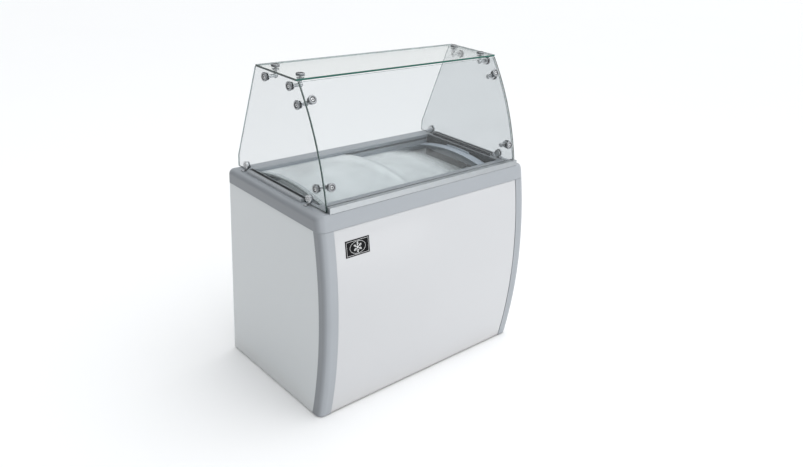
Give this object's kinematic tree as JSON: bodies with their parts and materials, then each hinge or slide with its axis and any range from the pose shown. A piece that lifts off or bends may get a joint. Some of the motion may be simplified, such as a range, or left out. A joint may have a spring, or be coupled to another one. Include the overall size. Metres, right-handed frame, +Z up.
{
  "type": "chest freezer",
  "caption": "Chest freezer with a curved front, sliding arched glass lids over an open tank, and a glass guard with a flat top held by steel disc clamps.",
  "frame": {"origin": "middle of the width and depth of the whole freezer, at the floor under the levelling feet", "axes": "+X to the right seen from the customer's side, +Y towards the rear panel, +Z up; the curved front faces -Y"},
  "size_m": [1.122, 0.683, 1.309],
  "materials": {
    "cabinet_white": "satin white enamel",
    "cabinet_side": "satin pale grey-white enamel",
    "rear_steel": "satin",
    "frame_grey": "satin cool grey moulding",
    "grille_grey": "matte",
    "galvanised": "dull galvanised",
    "foot_black": "matte",
    "tank_white": "satin white",
    "foam": "matte foam",
    "copper": "dull copper",
    "track_grey": "satin",
    "throat_grey": "satin",
    "channel_light": "satin anodised",
    "seal_black": "matte",
    "clear_trim": "matte",
    "guard_glass": "clear with a green edge",
    "lid_glass": "clear, slightly grey",
    "lid_trim": "satin",
    "stainless": "brushed",
    "screw_steel": "zinc plated",
    "machine_black": "semi-gloss black",
    "dark_plastic": "matte",
    "motor_grey": "matte",
    "fan_aluminium": "mill",
    "beige_plastic": "matte",
    "knob_black": "semi-gloss",
    "rocker_red": "gloss",
    "drain_white": "matte",
    "badge_black": "gloss"
  },
  "bodies": {
    "cabinet": {"side_panel_left": "cabinet_side", "side_panel_right": "cabinet_side", "front_panel": "cabinet_white", "corner_post_left": "frame_grey", "corner_post_right": "frame_grey", "rear_panel": "rear_steel", "rear_grille": "grille_grey", "base_pan": "galvanised", "levelling_feet": "foot_black", "inner_tank": "tank_white", "insulation_foam": "foam", "evaporator_coil": "copper", "machine_bay_liner": "galvanised", "top_frame": "frame_grey", "track_rear": "track_grey", "track_front": "track_grey", "throat_left": "throat_grey", "throat_right": "throat_grey", "front_glass_channel": "channel_light", "side_glass_channel_left": "channel_light", "side_glass_channel_right": "channel_light", "channel_gaskets": "seal_black", "glass_side_left": "guard_glass", "glass_side_right": "guard_glass", "glass_front": "guard_glass", "glass_top": "guard_glass", "connectors_top": "stainless", "connectors_front": "stainless", "bracket_legs": "stainless", "connector_discs": "stainless", "bracket_screws": "screw_steel", "compressor": "machine_black", "compressor_plate": "machine_black", "condenser": "machine_black", "fan_shroud": "dark_plastic", "fan_motor": "motor_grey", "refrigerant_lines": "copper", "control_tray": "dark_plastic", "thermostat_housing": "beige_plastic", "switch_bezel": "knob_black", "cord_gland": "knob_black", "drain_tube": "drain_white", "drain_cap": "knob_black", "name_badge": "badge_black", "panel_screws": "screw_steel"},
    "lid_left": {"lid_glass_left": "lid_glass", "lid_rails_left": "lid_trim", "lid_handle_left": "clear_trim", "lid_wiper_left": "clear_trim"},
    "lid_right": {"lid_glass_right": "lid_glass", "lid_rails_right": "lid_trim", "lid_handle_right": "lid_trim", "lid_wiper_right": "clear_trim"},
    "fan": {"fan_blades": "fan_aluminium"},
    "knob": {"thermostat_knob": "knob_black"},
    "rocker": {"switch_rocker": "rocker_red"}
  },
  "joints": [
    {"name": "lid_left_slide", "type": "slide", "parent": "cabinet", "child": "lid_left", "axis": [1, 0, 0], "range_m": [0, 0.49]},
    {"name": "lid_right_slide", "type": "slide", "parent": "cabinet", "child": "lid_right", "axis": [-1, 0, 0], "range_m": [0, 0.42]},
    {"name": "fan_spin", "type": "hinge", "parent": "cabinet", "child": "fan", "pos_m": [0.4, 0.238, 0.145], "axis": [0, 1, 0], "continuous": true},
    {"name": "knob_turn", "type": "hinge", "parent": "cabinet", "child": "knob", "pos_m": [0.49, 0.3115, 0.299], "axis": [0, -1, 0], "range_deg": [0, 270]},
    {"name": "rocker_press", "type": "hinge", "parent": "cabinet", "child": "rocker", "pos_m": [0.41, 0.3085, 0.299], "axis": [0, 0, 1], "range_deg": [0, 16]}
  ]
}
